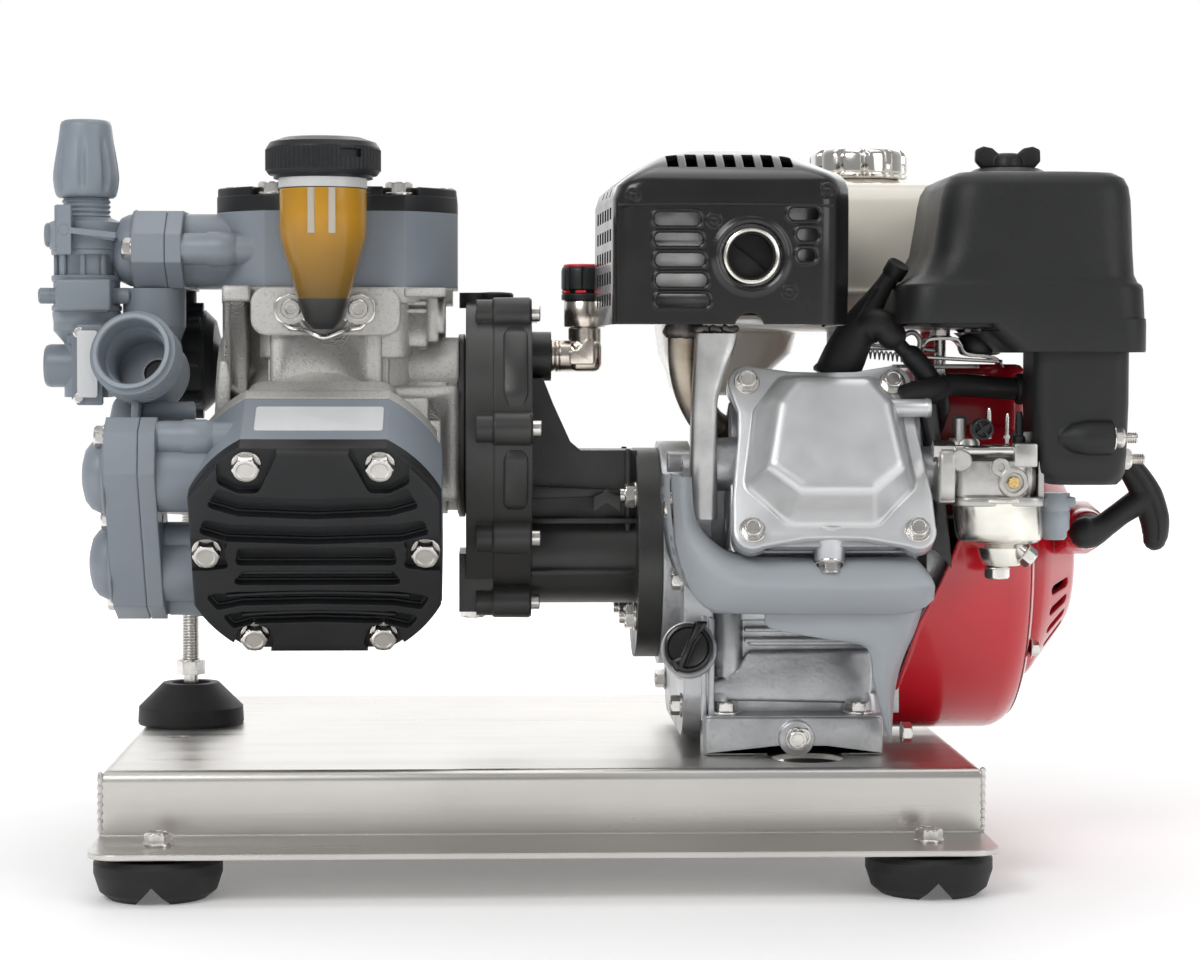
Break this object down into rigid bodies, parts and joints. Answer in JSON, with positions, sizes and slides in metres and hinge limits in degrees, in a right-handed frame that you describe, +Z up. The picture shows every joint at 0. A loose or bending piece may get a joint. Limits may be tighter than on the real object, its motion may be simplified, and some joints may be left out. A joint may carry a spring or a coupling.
{
  "type": "diaphragm pump",
  "caption": "Engine-driven diaphragm pump unit: vee-set diaphragm heads, reduction gearbox and small petrol engine on a folded steel base with rubber feet.",
  "frame": {"origin": "middle of the footprint, on the floor under the rubber feet", "axes": "+X along the shafts towards the starter, -Y towards the suction port side, +Z up"},
  "size_m": [0.6366, 0.4758, 0.4215],
  "materials": {
    "stainless_sheet": "brushed stainless sheet",
    "bright_steel": "zinc-plated and stainless fasteners",
    "machined_steel": "machined steel",
    "rubber_black": "moulded rubber",
    "diaphragm_rubber": "fabric-backed rubber",
    "cast_aluminium": "blasted casting",
    "grey_polymer": "glass-filled grey plastic",
    "black_polymer": "satin black moulding",
    "valve_plastic": "acetal",
    "cup_clear": "clear plastic with oil behind it",
    "charcoal_paint": "satin paint on a casting",
    "plated_brass": "nickel-plated brass",
    "engine_aluminium": "painted die casting",
    "silver_paint": "silver paint",
    "exhaust_steel": "heat-stained steel",
    "black_paint": "gloss black stove paint",
    "die_cast_zinc": "die-cast body",
    "bowl_steel": "plated pressing",
    "airbox_plastic": "textured black plastic",
    "filter_foam": "pleated paper and foam",
    "cream_paint": "gloss cream paint",
    "red_paint": "gloss red paint",
    "grey_shroud": "grey moulding"
  },
  "bodies": {
    "unit": {"base_plate": "stainless_sheet", "rubber_feet": "rubber_black", "base_bolts": "bright_steel", "leveling_pad": "rubber_black", "pump_crankcase": "cast_aluminium", "top_head": "grey_polymer", "front_head": "grey_polymer", "top_cover": "black_polymer", "front_cover": "black_polymer", "pump_bolts": "bright_steel", "top_valve_chest": "grey_polymer", "front_valve_chest": "grey_polymer", "check_valves": "valve_plastic", "suction_manifold": "grey_polymer", "regulator_body": "grey_polymer", "pulsation_damper": "black_polymer", "oil_cup": "cup_clear", "shaft_bearings": "machined_steel", "gearbox_case": "charcoal_paint", "bell_housing": "charcoal_paint", "gearbox_screws": "bright_steel", "breather_elbow": "plated_brass", "breather_cap": "black_polymer", "engine_block": "engine_aluminium", "block_cover": "engine_aluminium", "engine_bolts": "bright_steel", "cylinder_head": "engine_aluminium", "valve_cover": "silver_paint", "muffler": "exhaust_steel", "muffler_shield": "black_paint", "carburettor": "die_cast_zinc", "float_bowl": "bowl_steel", "air_cleaner_base": "airbox_plastic", "filter_element": "filter_foam", "fuel_tank": "cream_paint", "fan_housing": "red_paint", "recoil_cover": "red_paint", "lower_shroud": "grey_shroud", "plug_cap": "rubber_black", "breather_hose": "rubber_black"},
    "engine_shaft": {"engine_crankshaft": "machined_steel", "flywheel": "cast_aluminium", "pinion": "machined_steel"},
    "pump_shaft": {"pump_crankshaft": "machined_steel", "gear_wheel": "machined_steel"},
    "upper_piston": {"top_piston": "cast_aluminium", "top_diaphragm": "diaphragm_rubber"},
    "lower_piston": {"front_piston": "cast_aluminium", "front_diaphragm": "diaphragm_rubber"},
    "power_piston": {"engine_piston": "cast_aluminium"},
    "pressure_knob": {"regulator_knob": "grey_polymer"},
    "release_lever": {"bypass_lever": "grey_polymer"},
    "cup_lid": {"oil_cup_cap": "black_polymer"},
    "air_cover": {"air_cleaner_cover": "airbox_plastic"},
    "cover_nut": {"wing_nut": "airbox_plastic"},
    "tank_cap": {"fuel_cap": "bright_steel"},
    "dipstick": {"oil_dipstick": "airbox_plastic"},
    "speed_lever": {"throttle_lever": "machined_steel"},
    "pull_handle": {"starter_handle": "airbox_plastic"},
    "jack_screw": {"leveling_screw": "bright_steel"}
  },
  "joints": [
    {"name": "engine_spin", "type": "hinge", "parent": "unit", "child": "engine_shaft", "pos_m": [0.1157, -0.024, 0.17], "axis": [1, 0, 0], "continuous": true},
    {"name": "pump_spin", "type": "hinge", "parent": "unit", "child": "pump_shaft", "pos_m": [-0.0943, -0.024, 0.245], "axis": [1, 0, 0], "continuous": true},
    {"name": "upper_stroke", "type": "slide", "parent": "unit", "child": "upper_piston", "axis": [0, 0, 1], "range_m": [-0.0105, 0.0035], "deforming": ["top_diaphragm"]},
    {"name": "lower_stroke", "type": "slide", "parent": "unit", "child": "lower_piston", "axis": [0, -0.866, -0.5], "range_m": [-0.0105, 0.0035], "deforming": ["front_diaphragm"]},
    {"name": "power_stroke", "type": "slide", "parent": "unit", "child": "power_piston", "axis": [0, -0.9063, 0.4226], "range_m": [-0.04, 0]},
    {"name": "pressure_set", "type": "hinge", "parent": "unit", "child": "pressure_knob", "pos_m": [-0.2953, -0.056, 0.39], "axis": [0, 0, 1], "range_deg": [-720, 360]},
    {"name": "pressure_release", "type": "hinge", "parent": "unit", "child": "release_lever", "pos_m": [-0.3043, -0.08, 0.357], "axis": [0, -1, 0], "range_deg": [0, 70]},
    {"name": "cup_lid_lift", "type": "slide", "parent": "unit", "child": "cup_lid", "axis": [0, 0, 1], "range_m": [0, 0.03]},
    {"name": "air_cover_lift", "type": "slide", "parent": "unit", "child": "air_cover", "axis": [0, 0, 1], "range_m": [0, 0.1]},
    {"name": "cover_nut_turn", "type": "hinge", "parent": "air_cover", "child": "cover_nut", "pos_m": [0.2277, -0.11, 0.4], "axis": [0, 0, 1], "range_deg": [-180, 1080]},
    {"name": "tank_cap_turn", "type": "hinge", "parent": "unit", "child": "tank_cap", "pos_m": [0.1647, 0.05, 0.405], "axis": [0, 0, 1], "range_deg": [0, 90]},
    {"name": "dipstick_turn", "type": "hinge", "parent": "unit", "child": "dipstick", "pos_m": [0.0477, -0.122, 0.122], "axis": [-0.1022, -0.9728, 0.2079], "range_deg": [0, 1080]},
    {"name": "speed_set", "type": "hinge", "parent": "unit", "child": "speed_lever", "pos_m": [0.1917, -0.084, 0.29], "axis": [0, 0, 1], "range_deg": [-12, 12]},
    {"name": "starter_pull", "type": "slide", "parent": "unit", "child": "pull_handle", "axis": [0, -1, 0], "range_m": [0, 0.05]},
    {"name": "jack_turn", "type": "hinge", "parent": "unit", "child": "jack_screw", "pos_m": [-0.2453, 0.032, 0.15], "axis": [0, 0, 1], "range_deg": [-720, 720]}
  ],
  "couplings": [
    {"joint": "pump_spin", "follows": "engine_spin", "ratio": -0.17647}
  ]
}
